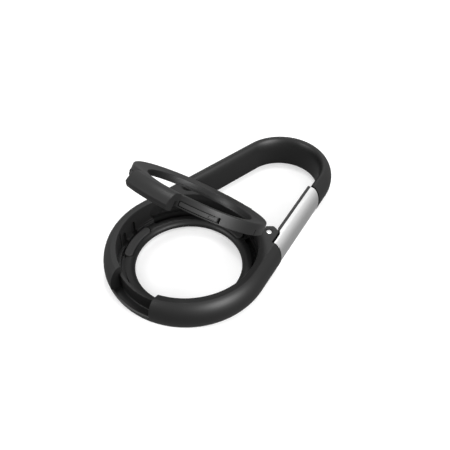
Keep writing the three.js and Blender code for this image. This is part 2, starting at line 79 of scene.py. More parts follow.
CATCH_Z = (3.0, 8.1)
CATCH_R = 17.7

TURN = -2.0  # the notch, the cap and the snap bars lie this far round
NOTCH_X = (-7.05, 5.8)  # gap in the ring's side that the lid's cap closes
NOTCH_WALL_R = 18.12  # outer face of the pocket's wall inside the notch
NOTCH_WALL_Z = 6.8
NOTCH_FLOOR = 2.6
RIM_IN = 20.48  # thin rim left outside the notch's floor
RIM_Z = 3.95
RIM_EDGE_Z = 3.45  # the rim slopes down to this height at its outer edge

PAD_R = 15.55  # middle line of the seat pads
PAD_W = 2.1
PAD_HALF = 16.5  # from a pad's middle to the centre of its round end
PAD_MARGIN = 0.28  # groove round each pad
PAD_FLOOR = 1.3
PAD_TOP = 2.5
PAD_ANGLES = {"left": 194.2, "right": 345.8, "hinge": 90.0}

LID_R = 17.2
LID_WALL_IN = 16.1
LID_WALL_Z = 5.9
LID_HOLE_R = 13.45
LID_PLATE_Z = 6.75  # underside of the lid's plate
LID_DISH = 0.55  # the plate falls by this much towards its hole
LID_LIP = 0.7  # flat lip outside the dished plate
LID_OPEN = 41.6  # how far the lid stands open
CAP_X = (-6.7, 5.45)
CAP_IN = 18.38  # the cap's inner face, outside the notch's wall
CAP_ROOF = 7.05  # underside of the cap, above the notch's wall
CAP_TOE = ((19.6, 4.75), (20.3, 5.35))  # rounded lower edge of the cap, (radius, height)
CAP_SIDE_Z = 6.0  # from here up the cap follows the body's side
WINDOW_MID = 37.4  # from the cap's middle to a snap bar's window
WINDOW_HALF = 16.2
WINDOW_Z = (6.2, 7.5)
WINDOW_DEPTH = 0.85
BUMP = 9.5  # from a window's middle to the snap bar's bump
BUMP_HALF = 2.5
SLIT_ANGLE = 90.7  # from the cap's middle to a slit in the lid's wall
SLIT_HALF = 0.4
SLIT_DEPTH = 0.4
SLIT_TOP = 7.4

HINGE_Y = 19.4  # from the ring centre
HINGE_Z = 7.7
HINGE_R = 0.72
KNUCKLE_HALF = 2.4  # half length of the lid's knuckle
HINGE_HALF = 4.4  # half length of the whole hinge
HINGE_PIN_R = 0.4
HINGE_ARM = ((16.3, 7.1), (19.4, 7.1), (19.6, 8.38), (17.1, HEIGHT), (16.3, HEIGHT))

GATE_START = 10.0  # the body's cut end, along the rail
GATE_W = 3.7
GATE_DROP = 0.25  # the gate's top, bottom and outer side lie a little inside the body's
GATE_INSET = 0.15
GATE_TRIM = 36.0  # the gate is drawn this far along the rail, then trimmed to its swing
STRIP_W = 0.8  # dark inner strip of the gate
SHELL_T = 0.7  # wall of the gate's metal sleeve
PIVOT_N = 15.76  # gate pin, across the rail
PIVOT_T = 13.09  # gate pin, along the rail
EAR = ((18.0, 13.75), (17.75, 14.35), (17.3, 14.65), (16.2, 15.22), (15.85, 15.22), (14.3, 14.35))
EAR_IN = 14.36  # the ears' side towards the opening
EAR_R = 2.4  # circle round the gate pin that holds the ears' tips
SWING_R = 20.85  # the gate's end, from its pin
SWING_GAP = 0.4
NOSE_X = (17.35, 18.5)  # the nose at the gate's end, across and along the rail
NOSE_Y = (33.0, 35.9)
NOSE_ROOM_IN = 16.5  # the nose swings into its pocket from this side
GATE_PIN_R = 0.8
KNUCKLE_R = 2.0  # gate's knuckle on its pin
KNUCKLE_ARM = ((0, -1.9), (3.64, -1.9), (3.64, 5), (1.39, 5), (1.39, 3.1), (0, 1.9))  # from the pin
FORK_Z = (2.8, 6.0)  # gap between the body's two ears
GAP = 0.15
RUN = 0.08  # radial clearance of a pin in its bore

# ---------- Sizes that only the looks have ----------

GATE_RISE = 1.4  # height of the loop's inner curve beside the gate and at the hinge
RISE_ALONG = (33.0, 42.0)  # between these it grows to INNER_RISE, from the ring to the loop's end
RISE_ACROSS = (4.0, 12.0)  # and between these, towards the rail without the gate
FOOT_ROUND = 0.25  # round along the inner side's lower edge
MIDDLE_R = 9.0  # rod that clears the middle of the pocket
CAP_SIDE_R = 20.81  # about where the cap's side is at CAP_SIDE_Z
CORE_FIT = 0.1  # room between the gate's core and its sleeve
EDGE = 0.06  # width of the small rounds on moulded edges
EDGE_ANGLE = 35.0  # edges sharper than this are rounded
SMOOTH_ANGLE = 21.0  # flatter edges than this are shaded smooth
WELD_BEFORE = 0.004  # points closer than this are merged before the edges are rounded
WELD_AFTER = 0.001  # the same, after the edges are rounded

TAPER = math.asin((RING_R - LOOP_R) / LOOP_Y)
RING_CENTRE_Y = (RING_R - LOOP_R - LOOP_Y) / 2
SIDE_WIDTH = SIDE_FALL / (1 - math.sqrt(1 - (HEIGHT / 2 / SIDE_ELLIPSE) ** 2))
GATE_IN = RING_R - GATE_W - GATE_INSET
GATE_LOW = GATE_START + 0.3

TO_ROW = Matrix.Scale(0.001, 4) @ Matrix.Translation((0, RING_CENTRE_Y, 0))
ON_RAIL = Matrix.Rotation(TAPER, 4, "Z")
LID_SWING = (
    Matrix.Translation((0, HINGE_Y, HINGE_Z))
    @ Matrix.Rotation(-math.radians(LID_OPEN), 4, "X")
    @ Matrix.Translation((0, -HINGE_Y, -HINGE_Z))
)

# ---------- Mesh tools ----------


def arc(x, y, r, start, end, steps):
    """Points on a circle from one angle to the other, in radians, both ends included."""
    angles = [start + (end - start) * i / steps for i in range(steps + 1)]
    return [(x + r * math.cos(a), y + r * math.sin(a)) for a in angles]


def circle(x, y, r, steps):
    return arc(x, y, r, 0, 2 * math.pi, steps)[:-1]


def rounded(corners, steps=5):
    """A closed outline from (x, y, radius) corners, with each corner replaced by an arc of that radius."""
    points = []
    for i, (x, y, radius) in enumerate(corners):
        here = Vector((x, y))
        before = Vector(corners[i - 1][:2]) - here
        after = Vector(corners[(i + 1) % len(corners)][:2]) - here
        half = before.angle(after) / 2
        if radius <= 0 or half > math.radians(89.5):
            points.append((x, y))
            continue
        reach = min(radius / math.tan(half), before.length * 0.49, after.length * 0.49)
        r = reach * math.tan(half)
        first = here + before.normalized() * reach
        last = here + after.normalized() * reach
        centre = here + (before.normalized() + after.normalized()).normalized() * (r / math.sin(half))
        spoke = first - centre
        turn = (last - centre).angle_signed(spoke)
        for k in range(steps + 1):
            p = centre + Matrix.Rotation(turn * k / steps, 2) @ spoke
            points.append((p.x, p.y))
    return points


def skin(name, rings, wrap=False):
    """A closed mesh over a row of closed rings of points. Unless it wraps, both ends are capped."""
    bm = bmesh.new()
    rows = [[bm.verts.new(p) for p in ring] for ring in rings]
    pairs = list(zip(rows, rows[1:] + ([rows[0]] if wrap else [])))
    for one, two in pairs:
        for i in range(len(one)):
            j = (i + 1) % len(one)
            bm.faces.new((one[i], one[j], two[j], two[i]))
    if not wrap:
        bm.faces.new(rows[0])
        bm.faces.new(rows[-1])
    bmesh.ops.recalc_face_normals(bm, faces=bm.faces)
    mesh = bpy.data.meshes.new(name)
    bm.to_mesh(mesh)
    bm.free()
    piece = bpy.data.objects.new(name, mesh)
    bpy.context.scene.collection.objects.link(piece)
    return piece


def prism(name, outline, z0, z1):
    return skin(name, [[(x, y, z) for x, y in outline] for z in (z0, z1)])


def turned(name, profile, start=0.0, end=360.0, steps=240):
    """A closed (radius, height) profile turned about Z, all the way or between two angles in degrees."""
    whole = abs(end - start - 360) < 1e-6
    count = steps if whole else steps + 1
    rings = []
    for i in range(count):
        a = math.radians(start + (end - start) * i / steps)
        rings.append([(r * math.cos(a), r * math.sin(a), z) for r, z in profile])
    return skin(name, rings, wrap=whole)


def band(name, r0, r1, start, end, z0, z1, steps=24):
    return turned(name, [(r0, z0), (r1, z0), (r1, z1), (r0, z1)], start, end, steps)


def slab(name, x0, x1, y0, y1, z0, z1):
    return prism(name, [(x0, y0), (x1, y0), (x1, y1), (x0, y1)], z0, z1)


def rod(name, x, y, r, z0, z1, steps=64):
    return prism(name, circle(x, y, r, steps), z0, z1)


def hinge_rod(name, r, x0, x1):
    """A round rod along X, centred on the hinge line."""
    section = circle(HINGE_Y, HINGE_Z, r, 48)
    return skin(name, [[(x, y, z) for y, z in section] for x in (x0, x1)])


def radial_bore(name, angle, z, r, r0, r1):
    """A round rod that runs outwards from the ring's centre line, between two radii."""
    section = circle(0, z, r, 48)
    rod_along_x = skin(name, [[(x, y, up) for y, up in section] for x in (r0, r1)])
    return moved(rod_along_x, Matrix.Rotation(math.radians(angle), 4, "Z"))


def moved(piece, matrix):
    piece.data.transform(matrix)
    return piece


def combine(piece, others, operation):
    """Cuts the others out of a piece, or joins them to it, one after the other, and removes them."""
    for other in others:
        step = piece.modifiers.new(operation, "BOOLEAN")
        step.operation = operation
        step.solver = "MANIFOLD"
        step.object = other
        bpy.context.view_layer.update()
        evaluated = piece.evaluated_get(bpy.context.evaluated_depsgraph_get())
        result = bpy.data.meshes.new_from_object(evaluated)
        piece.modifiers.clear()
        piece.data = result
        bpy.data.objects.remove(other)
    return piece


def cut(piece, *others):
    return combine(piece, others, "DIFFERENCE")


def join(piece, *others):
    return combine(piece, others, "UNION")


def keep_inside(piece, *others):
    return combine(piece, others, "INTERSECT")


def merge_close(mesh, distance):
    """Merges points of a mesh closer than distance, removes faces without area and closes pinholes."""
    bm = bmesh.new()
    bm.from_mesh(mesh)
    bmesh.ops.remove_doubles(bm, verts=bm.verts, dist=distance)
    bmesh.ops.dissolve_degenerate(bm, edges=bm.edges, dist=distance)
    bmesh.ops.holes_fill(bm, edges=[edge for edge in bm.edges if edge.is_boundary], sides=0)
    bm.to_mesh(mesh)
    bm.free()


def finished(piece, body, material, node, place=None, edge=EDGE):
    """Softens a piece's edges, moves it into the row's frame and puts it in the place of a CAD node."""
    merge_close(piece.data, WELD_BEFORE)
    if edge:
        bevel = piece.modifiers.new("edge", "BEVEL")
        bevel.width = edge
        bevel.segments = 2
        bevel.limit_method = "ANGLE"
        bevel.angle_limit = math.radians(EDGE_ANGLE)
        bevel.use_clamp_overlap = True
        bevel.harden_normals = False
        bpy.context.view_layer.update()
        evaluated = piece.evaluated_get(bpy.context.evaluated_depsgraph_get())
        piece.data = bpy.data.meshes.new_from_object(evaluated)
        piece.modifiers.clear()
        merge_close(piece.data, WELD_AFTER)
    piece.data.transform(TO_ROW @ (place or Matrix.Identity(4)))
    for face in piece.data.polygons:
        face.use_smooth = True
    piece.data.set_sharp_from_angle(angle=math.radians(SMOOTH_ANGLE))
    weigh = piece.modifiers.new("weigh", "WEIGHTED_NORMAL")
    weigh.keep_sharp = True
    weigh.weight = 80
    piece.data.materials.clear()
    piece.data.materials.append(material)
    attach(piece, body)
    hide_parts(node)


# ---------- Materials ----------


def principled(name):
    material = bpy.data.materials.new(name)
    material.use_nodes = True
    nodes = material.node_tree.nodes
    return material, nodes, material.node_tree.links, nodes["Principled BSDF"]


def spread(nodes, links, source, low, high, target):
    """Maps a value from 0 to 1 onto a range and feeds it to an input."""
    scale = nodes.new("ShaderNodeMapRange")
    scale.inputs["To Min"].default_value = low
    scale.inputs["To Max"].default_value = high
    links.new(source, scale.inputs["Value"])
    links.new(scale.outputs["Result"], target)


def emboss(nodes, links, source, strength, depth, shader):
    """Turns a value from 0 to 1 into small bumps, of a depth in metres."""
    bump = nodes.new("ShaderNodeBump")
    bump.inputs["Strength"].default_value = strength
    bump.inputs["Distance"].default_value = depth
    links.new(source, bump.inputs["Height"])
    links.new(bump.outputs["Normal"], shader.inputs["Normal"])


def moulded(name, grey, roughness, grain=0.12):
    """Matte moulded plastic: a fine spark-eroded grain, with slight clouds in its shade and gloss."""
    material, nodes, links, shader = principled(name)
    place = nodes.new("ShaderNodeTexCoord")

    clouds = nodes.new("ShaderNodeTexNoise")
    clouds.inputs["Scale"].default_value = 130
    clouds.inputs["Detail"].default_value = 3
    links.new(place.outputs["Object"], clouds.inputs["Vector"])
    cloud = clouds.outputs["Fac"]
    spread(nodes, links, cloud, grey * 0.9, grey * 1.1, shader.inputs["Base Color"])
    spread(nodes, links, cloud, roughness - 0.05, roughness + 0.05, shader.inputs["Roughness"])

    texture = nodes.new("ShaderNodeTexNoise")
    texture.inputs["Scale"].default_value = 5200
    texture.inputs["Detail"].default_value = 4
    links.new(place.outputs["Object"], texture.inputs["Vector"])
    emboss(nodes, links, texture.outputs["Fac"], grain, 0.00005, shader)
    shader.inputs["IOR"].default_value = 1.42
    return material


def brushed(name, grey, roughness, along):
    """Satin metal with fine brush lines that run along one axis: 0, 1 or 2 for X, Y or Z."""
    material, nodes, links, shader = principled(name)
    place = nodes.new("ShaderNodeTexCoord")
    stretch = nodes.new("ShaderNodeMapping")
    stretch.inputs["Rotation"].default_value = (0, 0, -TAPER)
    stretch.inputs["Scale"].default_value = [60 if axis == along else 9000 for axis in range(3)]
    links.new(place.outputs["Object"], stretch.inputs["Vector"])
    lines = nodes.new("ShaderNodeTexNoise")
    lines.inputs["Scale"].default_value = 1
    lines.inputs["Detail"].default_value = 3
    links.new(stretch.outputs["Vector"], lines.inputs["Vector"])
    line = lines.outputs["Fac"]
    spread(nodes, links, line, grey * 0.94, min(grey * 1.05, 1), shader.inputs["Base Color"])
    spread(nodes, links, line, roughness - 0.06, roughness + 0.06, shader.inputs["Roughness"])
    emboss(nodes, links, line, 0.15, 0.00002, shader)
    shader.inputs["Metallic"].default_value = 1
    return material


BODY_BLACK = moulded("body_black", 0.0045, 0.46)
LID_BLACK = moulded("lid_black", 0.006, 0.46)
GATE_BLACK = moulded("gate_black", 0.014, 0.48)
PAD_RUBBER = moulded("pad_rubber", 0.026, 0.65, 0.2)
SATIN_SILVER = brushed("satin_silver", 0.78, 0.33, 1)
PIN_STEEL = brushed("pin_steel", 0.8, 0.22, 2)

# ---------- Body ----------


def side_curve(low, high, steps):
    """(inset, height) down the body's rounded outer side, between two heights."""
    first = math.asin((low - HEIGHT / 2) / SIDE_ELLIPSE)
    last = math.asin((high - HEIGHT / 2) / SIDE_ELLIPSE)
    curve = []
    for i in range(steps + 1):
        a = first + (last - first) * i / steps
        curve.append((SIDE_WIDTH * (1 - math.cos(a)), HEIGHT / 2 + SIDE_ELLIPSE * math.sin(a)))
    return curve


def body_outline(inset):
    """Two circles joined by their outer tangents, drawn in by inset."""
    ring = arc(0, 0, RING_R - inset, math.pi - TAPER, 2 * math.pi + TAPER, 150)
    return ring + arc(0, LOOP_Y, LOOP_R - inset, TAPER, math.pi - TAPER, 90)


def body_blank():
    """The body without its openings: a small slope runs along its top and bottom edges."""
    crease, drop = 0.12, 0.045
    levels = side_curve(0, HEIGHT, 30)
    top_inset, _ = levels.pop()
    bottom_inset, _ = levels.pop(0)
    levels = [(bottom_inset + crease, 0), (bottom_inset - crease, drop)] + levels
    levels += [(top_inset - crease, HEIGHT - drop), (top_inset + crease, HEIGHT)]
    return skin("body", [[(x, y, z) for x, y in body_outline(inset)] for inset, z in levels])


def opening_outline(grow):
    """The loop's opening, grown by a margin on all sides."""
    rail_in = RING_R - RAIL_W - WEB_FILLET
    web_out = WEB_R + WEB_FILLET
    corner = Vector((rail_in, math.sqrt(web_out**2 - rail_in**2)))
    corner.rotate(Matrix.Rotation(TAPER, 2))
    turn = math.atan2(corner.y, corner.x)
    fillet = WEB_FILLET + grow
    return (
        arc(0, 0, WEB_R - grow, math.pi - turn, turn, 40)
        + arc(corner.x, corner.y, fillet, turn + math.pi, TAPER + 2 * math.pi, 16)
        + arc(0, LOOP_Y, LOOP_R - RAIL_W + grow, TAPER, math.pi - TAPER, 72)
        + arc(-corner.x, corner.y, fillet, math.pi - TAPER, 2 * math.pi - turn, 16)
    )


def ramp(value, start, end):
    """Goes smoothly from 0 at start to 1 at end."""
    t = min(1, max(0, (value - start) / (end - start)))
    return t * t * (3 - 2 * t)


def inner_rise(x, y):
    """Height of the opening's curved upper side: tall, but short beside the gate and at the hinge."""
    tall = 1 - (1 - ramp(y, *RISE_ALONG)) * (1 - ramp(-x, *RISE_ACROSS))
    return GATE_RISE + (INNER_RISE - GATE_RISE) * tall


def loop_opening():
    """The opening: its lower edge is barely rounded, and its side curves outwards to the top."""
    quarter = math.pi / 2
    rings = [[(x, y, -1) for x, y in opening_outline(FOOT_ROUND)]]
    foot_steps, steps = 3, 12
    for i in range(foot_steps + 1):
        a = quarter * i / foot_steps
        outline = opening_outline(FOOT_ROUND * (1 - math.sin(a)))
        rings.append([(x, y, FOOT_ROUND * (1 - math.cos(a))) for x, y in outline])
    for i in range(steps + 1):
        a = quarter * i / steps
        outline = opening_outline(INNER_ROUND * (1 - math.cos(a)))
        rings.append([(x, y, HEIGHT - inner_rise(x, y) * (1 - math.sin(a))) for x, y in outline])
    rings.append([(x, y, HEIGHT + 1) for x, y in opening_outline(INNER_ROUND + 0.02)])
    return skin("opening", rings)


def gate_gap():
    """Clears the rail where the gate is, and ends in an arc that the gate's end can swing past."""
    reach = SWING_R + SWING_GAP
    inner, outer = RING_R - RAIL_W - 0.7, RING_R + 1.5
    start = math.acos((outer - PIVOT_N) / reach)
    end = math.acos((inner - PIVOT_N) / reach)
    outline = [(inner, GATE_START), (outer, GATE_START)] + arc(PIVOT_N, PIVOT_T, reach, start, end, 16)
    return moved(prism("gap", outline, -1, HEIGHT + 1), ON_RAIL)


def gate_ear():
    """The rail's lower end, which holds the gate's pin. The fork's slot later makes two ears of it."""
    outline = [(EAR[0][0], GATE_START - 1.5, 0)]
    outline += [(across, along, 0.35) for across, along in EAR]
    outline += [(EAR_IN, GATE_START + 1, 0)]
    return moved(prism("ear", rounded(outline), 0, HEIGHT), ON_RAIL)


def ledge_curve():
    """The seat ledge's rounded inner lip, from the hole's edge up to the flat of the ledge."""
    wide, high, steps = 1.5, 1.35, 12
    base = SEAT_TOP - high
    return [
        (SEAT_R + wide - wide * math.cos(a), base + high * math.sin(a))
        for a in (math.pi / 2 * i / steps for i in range(steps + 1))
    ]


def pocket_space():
    """The round room inside the tracker ring, from the see-through hole up to the pocket's mouth."""
    edge, inner = 0.12, MIDDLE_R - 1
    hole = [(SEAT_R + 0.7, -1), (SEAT_R + 0.7, 0), (SEAT_R, 0.6)]
    wall = rounded(
        [
            (STEP_R, SEAT_TOP, 0.1),
            (STEP_R, STEP_Z, 0.12),
            (POCKET_R, STEP_Z, 0.1),
            (POCKET_R, HEIGHT - edge, 0.1),
            (POCKET_R + edge, HEIGHT, 0),
            (POCKET_R + edge, HEIGHT + 1, 0),
            (inner, HEIGHT + 1, 0),
            (inner, -1, 0),
            (SEAT_R + 0.7, SEAT_TOP, 0),
        ],
        4,
    )[:-3]
    middle = [(inner, HEIGHT + 1), (inner, -1)]
    return turned("pocket", hole + ledge_curve() + wall + middle, steps=288)


def channel_cutters():
    """The channels outside the ledge, one on the notch side and two beside the hinge pad."""
    start, end = RELIEF
    top = STEP_Z + 0.4
    return [
        band("channel", LEDGE_R, STEP_R + 0.01, *CHANNEL, CHANNEL_Z, SEAT_TOP + 0.4, 90),
        band("relief", LEDGE_R, POCKET_R, start, end, RELIEF_Z, top, 48),
        band("relief", LEDGE_R, POCKET_R, 180 - end, 180 - start, RELIEF_Z, top, 48),
        band("relief", STEP_R - 0.1, POCKET_R, *HINGE_WALL, SEAT_TOP, top, 48),
    ]


def undercut_cutters():
    """The wall's undercut on the hinge side, with a round end on each side."""
    low, high = UNDERCUT_Z
    middle, half = (low + high) / 2, (high - low) / 2
    inner = POCKET_R - 0.5
    gate_end, far_end = UNDERCUT
    return [
        band("undercut", inner, UNDERCUT_R, UNDERCUT_DEEP, far_end, low, high, 90),
        radial_bore("undercut", far_end, middle, half, inner, UNDERCUT_R),
        band("undercut", inner, UNDERCUT_GATE_R, gate_end, UNDERCUT_DEEP + 1, low, high, 40),
        radial_bore("undercut", gate_end, middle, half, inner, UNDERCUT_GATE_R),
    ]


def recess_cutters():
    """Arched recesses beside each pad, and the two catches for the snap bars."""
    cutters = []
    middle = 270 + TURN
    for start, end in (CATCH, (2 * middle - CATCH[1], 2 * middle - CATCH[0])):
        cutters.append(band("catch", POCKET_R - 0.4, CATCH_R, start, end, *CATCH_Z))
    low, top = RECESS_Z
    for place, half in RECESSES:
        arch = math.radians(half) * POCKET_R
        foot = top - arch
        for angle in (place, 180 - place):
            start, end = angle - half, angle + half
            cutters.append(band("recess", STEP_R - 0.1, RECESS_R, start, end, low, foot, 8))
            cutters.append(radial_bore("recess", angle, foot, arch, STEP_R, RECESS_R))
    return cutters


def notch_cutter():
    """Takes out the gap for the lid's cap, down to the hollow between the pocket's wall and a thin rim."""
    section = rounded(
        [
            (NOTCH_WALL_R, NOTCH_FLOOR, 0.25),
            (RIM_IN, NOTCH_FLOOR, 0.25),
            (RIM_IN, RIM_Z, 0.12),
            (RING_R + 0.05, RIM_EDGE_Z, 0),
            (RING_R + 0.05, HEIGHT + 1, 0),
            (POCKET_R - 0.3, HEIGHT + 1, 0),
            (POCKET_R - 0.3, NOTCH_WALL_Z, 0),
            (NOTCH_WALL_R, NOTCH_WALL_Z, 0.1),
        ],
        8,
    )
    notch = turned("notch", section, 230, 310, 120)
    return keep_inside(notch, slab("ends", *NOTCH_X, -RING_R - 2, -10, 0, HEIGHT + 2))


def body_frame():
    body = body_blank()
    cut(body, loop_opening(), gate_gap())
    join(body, gate_ear())
    join(body, hinge_rod("knuckle", HINGE_R, -HINGE_HALF, HINGE_HALF))
    cut(body, pocket_space(), rod("middle", 0, 0, MIDDLE_R, -1.5, HEIGHT + 1.5, 48))
    cut(body, *channel_cutters(), *undercut_cutters(), *recess_cutters())
    for angle in PAD_ANGLES.values():
        cut(body, pad_shape("groove", angle, PAD_MARGIN, PAD_FLOOR, SEAT_TOP + 0.7))
    cut(body, notch_cutter())
    low, high = FORK_Z
    fork = slab("fork", PIVOT_N, PIVOT_N + EAR_R + 1, PIVOT_T - 2.2, PIVOT_T + 3, low, high)
    nose_far, nose_from, nose_to = NOSE_X[1] + 0.25, NOSE_Y[0] + 0.4, NOSE_Y[1] + 0.4
    nose = slab("nose", NOSE_ROOM_IN, nose_far, nose_from, nose_to, low + 0.1, high - 0.1)
    room = KNUCKLE_HALF + 0.2
    cut(
        body,
        moved(rod("fork", PIVOT_N, PIVOT_T, EAR_R + 0.2, low, high), ON_RAIL),
        moved(fork, ON_RAIL),
        moved(nose, ON_RAIL),
        moved(rod("bore", PIVOT_N, PIVOT_T, GATE_PIN_R + RUN, -1, HEIGHT + 1), ON_RAIL),
        slab("room", -room, room, 16, HINGE_Y + 2, HINGE_Z - HINGE_R - 0.25, HEIGHT + 1),
        hinge_rod("bore", HINGE_PIN_R + RUN, -HINGE_HALF - 1, HINGE_HALF + 1),
    )
    finished(body, "frame", BODY_BLACK, "body_frame")


# ---------- Seat pads ----------


def pad_shape(name, angle, margin, z0, z1):
    """A curved bar with round ends, grown by margin on all sides."""
    half = PAD_W / 2 + margin
    start, end = math.radians(angle - PAD_HALF), math.radians(angle + PAD_HALF)
    start_x, start_y = PAD_R * math.cos(start), PAD_R * math.sin(start)
    end_x, end_y = PAD_R * math.cos(end), PAD_R * math.sin(end)
    outline = arc(0, 0, PAD_R + half, start, end, 24)
    outline += arc(end_x, end_y, half, end, end + math.pi, 12)[1:-1]
    outline += arc(0, 0, PAD_R - half, end, start, 24)
    outline += arc(start_x, start_y, half, start + math.pi, start + 2 * math.pi, 12)[1:-1]
    return prism(name, outline, z0, z1)


def seat_pads():
    for place, angle in PAD_ANGLES.items():
        pad = pad_shape(f"pad_{place}", angle, 0, PAD_FLOOR + GAP, PAD_TOP)
        finished(pad, "frame", PAD_RUBBER, f"seat_pad_{place}", edge=0.16)


# ---------- Lid, drawn shut and swung open ----------


def lid_profile():
    """(radius, height) section of the lid: an outer wall and a plate that falls towards its hole."""
    lip = LID_R - LID_LIP
    return rounded(
        [
            (LID_R, LID_WALL_Z, 0.12),
            (LID_R, HEIGHT, 0.3),
            (lip, HEIGHT, 0.8),
            (LID_HOLE_R, HEIGHT - LID_DISH, 0.22),
            (LID_HOLE_R, LID_PLATE_Z, 0.1),
            (LID_WALL_IN, LID_PLATE_Z, 0.3),
            (LID_WALL_IN, LID_WALL_Z, 0.12),
        ]
    )


def lid_cap():
    """The cap that fills the notch. It hooks over the pocket's wall."""
    toe, cheek = CAP_TOE
    lower = rounded(
        [
            (LID_R - 0.3, CAP_ROOF, 0),
            (CAP_IN, CAP_ROOF, 0.15),
            (CAP_IN, toe[1], 0.1),
            (*toe, 0.35),
            (*cheek, 0.5),
            (CAP_SIDE_R, CAP_SIDE_Z, 0),
            (LID_R - 0.3, HEIGHT, 0),
        ]
    )[:-2]
    crease, drop = 0.09, 0.05
    side = [(RING_R - inset, z) for inset, z in side_curve(CAP_SIDE_Z, HEIGHT - drop, 14)]
    section = lower + side + [(RING_R - SIDE_FALL - crease, HEIGHT), (LID_R - 0.3, HEIGHT)]
    cap = turned("cap", section, 240, 300, 120)
    return keep_inside(cap, slab("ends", *CAP_X, -RING_R - 1, -10, 0, HEIGHT + 1))


def hinge_arm():
    """Joins the lid to its knuckle, between the body's two knuckles."""
    return skin("arm", [[(x, y, z) for y, z in HINGE_ARM] for x in (-KNUCKLE_HALF, KNUCKLE_HALF)])


def lid_cut(name, depth, middle, half, z0, z1, steps=24):
    """A cut into the outside of the lid's wall, half degrees to each side of the middle angle."""
    return band(name, LID_R - depth, LID_R + 1, middle - half, middle + half, z0, z1, steps)


def lid_ring():
    lid = turned("lid", lid_profile(), steps=288)
    join(lid, lid_cap(), hinge_arm(), hinge_rod("knuckle", HINGE_R, -KNUCKLE_HALF, KNUCKLE_HALF))
    cut(lid, hinge_rod("bore", HINGE_PIN_R + RUN, -KNUCKLE_HALF - 1, KNUCKLE_HALF + 1))
    low, high = WINDOW_Z
    for side in (-1, 1):
        middle = -90 + TURN + side * WINDOW_MID
        slit = -90 + TURN + side * SLIT_ANGLE
        cut(
            lid,
            lid_cut("window", WINDOW_DEPTH, middle, WINDOW_HALF, low, high),
            lid_cut("slit", SLIT_DEPTH, slit, SLIT_HALF, LID_WALL_Z - 1, SLIT_TOP, 2),
        )
    finished(lid, "lid", LID_BLACK, "lid_ring", LID_SWING)


def snap_bar(side, place):
    """A springy bar in a window of the lid's wall, with the bump that snaps into the ring."""
    middle = -90 + TURN + side * WINDOW_MID
    cap_gap, hinge_gap, edge_gap = 0.6, 3, 0.18
    cap_end = middle - side * (WINDOW_HALF - cap_gap)
    hinge_end = middle + side * (WINDOW_HALF - hinge_gap)
    start, end = sorted((cap_end, hinge_end))
    low, high = WINDOW_Z[0] + edge_gap, WINDOW_Z[1] - edge_gap
    inner, outer, tip = LID_R - 0.65, LID_R - 0.05, LID_R + 0.15
    bar = band("bar_" + place, inner, outer, start, end, low, high, 32)
    start, end = middle + side * BUMP - BUMP_HALF, middle + side * BUMP + BUMP_HALF
    join(bar, band("bump", LID_R - 0.3, tip, start, end, low + 0.2, high - 0.2, 12))
    finished(bar, "lid", GATE_BLACK, "snap_bar_" + place, LID_SWING, edge=0.05)


# ---------- Gate ----------


def gate_section(inner, inset):
    """(across, up) outline of the gate: flat inner side, rounded outer side."""
    outer = RING_R - GATE_INSET - inset
    half = HEIGHT / 2 - GATE_DROP - inset
    shoulder = outer - SIDE_FALL
    steps = 32
    side = [
        (shoulder + SIDE_FALL * math.cos(a), half * math.sin(a))
        for a in (math.pi * (i / steps - 0.5) for i in range(steps + 1))
    ]
    return [(inner, -half)] + side + [(inner, half)]


def along_rail(name, outline, t0, t1):
    """A section drawn across the rail and up from mid height, running along the rail from t0 to t1."""
    return skin(name, [[(n, t, HEIGHT / 2 + up) for n, up in outline] for t in (t0, t1)])


def ear_room():
    """Room for the two ears, which the gate's lower end passes outside."""
    reach = EAR_R + 0.35
    room = rod("room", PIVOT_N, PIVOT_T, reach, -1, HEIGHT + 1, 96)
    return join(room, slab("room", PIVOT_N - 3, PIVOT_N + reach, GATE_START - 2, PIVOT_T, -1, HEIGHT + 1))


def swing():
    """The disc that the gate's far end is trimmed to, so that it can swing."""
    return rod("swing", PIVOT_N, PIVOT_T, SWING_R, -2, HEIGHT + 2, 720)


def gate_sleeve():
    strip_out = GATE_IN + STRIP_W
    hollow = gate_section(strip_out - 1, SHELL_T)
    shell = along_rail("sleeve", gate_section(strip_out, 0), GATE_LOW, GATE_TRIM)
    cut(shell, along_rail("inside", hollow, GATE_LOW - 1, GATE_TRIM + 1))
    keep_inside(shell, swing())
    cut(shell, ear_room())
    finished(shell, "gate", SATIN_SILVER, "gate_sleeve", ON_RAIL, edge=0.1)


def gate_core():
    strip_out = GATE_IN + STRIP_W - CORE_FIT
    core = slab("core", GATE_IN, strip_out, GATE_LOW, GATE_TRIM, GATE_DROP, HEIGHT - GATE_DROP)
    rib = gate_section(GATE_IN + CORE_FIT, SHELL_T + CORE_FIT)
    join(core, along_rail("rib", rib, GATE_LOW, GATE_TRIM))
    keep_inside(core, swing())
    cut(core, ear_room())
    low, high = FORK_Z[0] + 0.2, FORK_Z[1] - 0.2
    arm = [(PIVOT_N + x, PIVOT_T + y) for x, y in KNUCKLE_ARM]
    join(core, prism("arm", arm, low, high), rod("knuckle", PIVOT_N, PIVOT_T, KNUCKLE_R, low, high))
    cut(core, rod("spring", PIVOT_N, PIVOT_T, KNUCKLE_R + 0.1, low + 1.4, high + 1))
    cut(core, rod("bore", PIVOT_N, PIVOT_T, GATE_PIN_R + RUN, 0, HEIGHT))
    join(core, slab("nose", *NOSE_X, *NOSE_Y, FORK_Z[0] + 0.4, FORK_Z[1] - 0.4))
    finished(core, "gate", GATE_BLACK, "gate_core", ON_RAIL)


